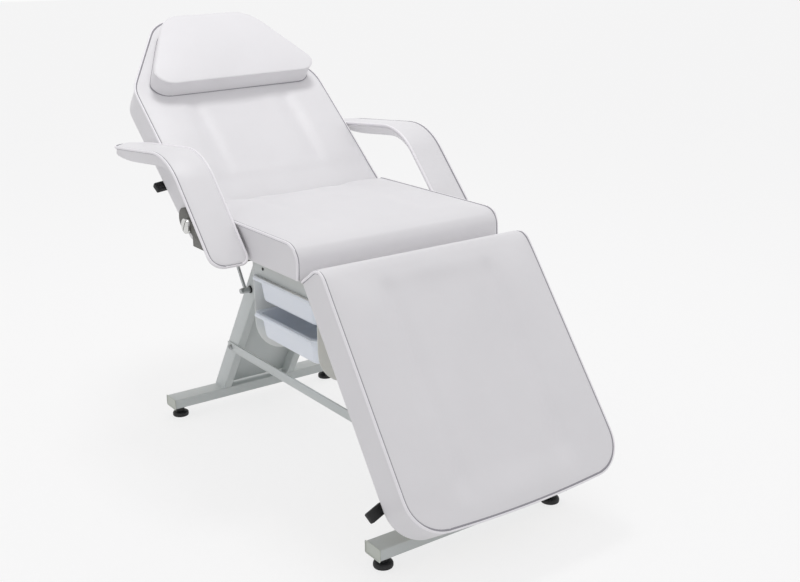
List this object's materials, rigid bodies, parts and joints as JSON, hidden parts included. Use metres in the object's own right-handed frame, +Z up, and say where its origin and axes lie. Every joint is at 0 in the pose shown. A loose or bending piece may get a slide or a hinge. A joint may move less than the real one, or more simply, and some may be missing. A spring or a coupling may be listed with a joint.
{
  "type": "reclining treatment couch",
  "caption": "Upholstered treatment couch with a reclining backrest, head pillow, lifting leg rest, bent armrests, lock struts with levers, and pull-out trays on a splayed steel base.",
  "frame": {"origin": "floor point under the middle of the couch's box, with the couch as in the picture: backrest raised, leg rest down", "axes": "+Z up, +Y toward the head end, -X the sitter's right side, where the release levers and the tray fronts are"},
  "size_m": [0.7882, 1.5342, 1.1225],
  "materials": {
    "vinyl": "smooth white upholstery vinyl",
    "paint": "light grey-green powder coat",
    "cap_plastic": "pale moulded end cap",
    "tray_plastic": "bluish white moulded plastic",
    "white_sheet": "off-white painted sheet",
    "rubber": "matt black rubber",
    "dark_steel": "dark grey painted steel",
    "chrome": "bright plated",
    "zinc": "zinc-plated steel",
    "plywood": "plain plywood"
  },
  "bodies": {
    "root": {"floor_bar_front": "paint", "floor_bar_rear": "paint", "end_cap_front_right": "cap_plastic", "end_cap_front_left": "cap_plastic", "end_cap_rear_right": "cap_plastic", "end_cap_rear_left": "cap_plastic", "post_front_right": "paint", "post_front_left": "paint", "post_rear_right": "paint", "post_rear_left": "paint", "seat_rail_right": "paint", "seat_rail_left": "paint", "side_brace_right": "paint", "side_brace_left": "paint", "brace_bolt_front_right": "zinc", "brace_bolt_front_left": "zinc", "brace_bolt_rear_right": "zinc", "brace_bolt_rear_left": "zinc", "rear_panel": "paint", "front_cross_rail": "paint", "seat_cushion": "vinyl", "seat_board": "plywood", "hinge_bracket_right": "dark_steel", "hinge_bracket_left": "dark_steel", "pivot_cap_right": "chrome", "pivot_cap_left": "chrome", "strut_bolt": "zinc", "armrest_pad_right": "vinyl", "armrest_pad_left": "vinyl", "arm_bracket_right": "dark_steel", "arm_bracket_left": "dark_steel", "tray_plate_front": "white_sheet", "tray_plate_rear": "white_sheet", "tray_strip_right": "white_sheet"},
    "backrest": {"backrest_cushion": "vinyl", "backrest_board": "plywood", "pillow": "vinyl", "hinge_arm_right": "dark_steel", "hinge_arm_left": "dark_steel", "backrest_clevis": "zinc"},
    "leg_rest": {"leg_rest_cushion": "vinyl", "leg_rest_board": "plywood", "knee_strap_right": "zinc", "knee_strap_left": "zinc", "leg_rest_clevis": "zinc"},
    "back_strut_rod": {"backrest_strut_rod": "zinc"},
    "back_strut_tube": {"backrest_strut_tube": "dark_steel"},
    "leg_strut_rod": {"leg_rest_strut_rod": "zinc"},
    "leg_strut_tube": {"leg_rest_strut_tube": "dark_steel"},
    "back_lever": {"backrest_lever": "zinc", "backrest_lever_grip": "rubber"},
    "leg_lever": {"leg_rest_lever": "zinc", "leg_rest_lever_grip": "rubber"},
    "tray_upper": {"upper_tray": "tray_plastic"},
    "tray_lower": {"lower_tray": "tray_plastic"},
    "foot_front_right": {"levelling_foot_front_right": "rubber"},
    "foot_front_left": {"levelling_foot_front_left": "rubber"},
    "foot_rear_right": {"levelling_foot_rear_right": "rubber"},
    "foot_rear_left": {"levelling_foot_rear_left": "rubber"}
  },
  "joints": [
    {"name": "backrest_recline", "type": "hinge", "parent": "root", "child": "backrest", "pos_m": [0, 0.2145, 0.628], "axis": [1, 0, 0], "range_deg": [-40, 16]},
    {"name": "leg_rest_tilt", "type": "hinge", "parent": "root", "child": "leg_rest", "pos_m": [0, -0.3245, 0.5975], "axis": [-1, 0, 0], "range_deg": [0, 54]},
    {"name": "back_strut_rod_turn", "type": "hinge", "parent": "root", "child": "back_strut_rod", "pos_m": [-0.136, 0.23579, 0.418], "axis": [1, 0, 0], "range_deg": [-20, 8]},
    {"name": "back_strut_tube_turn", "type": "hinge", "parent": "backrest", "child": "back_strut_tube", "pos_m": [-0.136, 0.41151, 0.70376], "axis": [1, 0, 0], "range_deg": [-8, 20]},
    {"name": "leg_strut_rod_turn", "type": "hinge", "parent": "root", "child": "leg_strut_rod", "pos_m": [0, -0.2335, 0.44], "axis": [-1, 0, 0], "range_deg": [0, 27]},
    {"name": "leg_strut_tube_turn", "type": "hinge", "parent": "leg_rest", "child": "leg_strut_tube", "pos_m": [0, -0.41529, 0.43988], "axis": [-1, 0, 0], "range_deg": [-27, 0]},
    {"name": "back_lever_pull", "type": "hinge", "parent": "backrest", "child": "back_lever", "pos_m": [-0.176, 0.40547, 0.71096], "axis": [0, -0.6428, 0.766], "range_deg": [0, 8], "stiffness_Nm_per_rad": 3, "springref_deg": -8.59},
    {"name": "leg_lever_pull", "type": "hinge", "parent": "leg_rest", "child": "leg_lever", "pos_m": [-0.04, -0.42289, 0.4454], "axis": [0, 0.809, -0.5878], "range_deg": [0, 8], "stiffness_Nm_per_rad": 6, "springref_deg": -11.46},
    {"name": "tray_upper_slide", "type": "slide", "parent": "root", "child": "tray_upper", "axis": [-1, 0, 0], "range_m": [0, 0.2]},
    {"name": "tray_lower_slide", "type": "slide", "parent": "root", "child": "tray_lower", "axis": [-1, 0, 0], "range_m": [0, 0.2]},
    {"name": "foot_front_right_screw", "type": "slide", "parent": "root", "child": "foot_front_right", "axis": [0, 0, 1], "range_m": [-0.012, 0]},
    {"name": "foot_front_left_screw", "type": "slide", "parent": "root", "child": "foot_front_left", "axis": [0, 0, 1], "range_m": [-0.012, 0]},
    {"name": "foot_rear_right_screw", "type": "slide", "parent": "root", "child": "foot_rear_right", "axis": [0, 0, 1], "range_m": [-0.012, 0]},
    {"name": "foot_rear_left_screw", "type": "slide", "parent": "root", "child": "foot_rear_left", "axis": [0, 0, 1], "range_m": [-0.012, 0]}
  ],
  "couplings": [
    {"joint": "back_strut_rod_turn", "follows": "backrest_recline", "ratio": 0.5},
    {"joint": "back_strut_tube_turn", "follows": "backrest_recline", "ratio": -0.5},
    {"joint": "leg_strut_rod_turn", "follows": "leg_rest_tilt", "ratio": 0.5},
    {"joint": "leg_strut_tube_turn", "follows": "leg_rest_tilt", "ratio": -0.5}
  ]
}
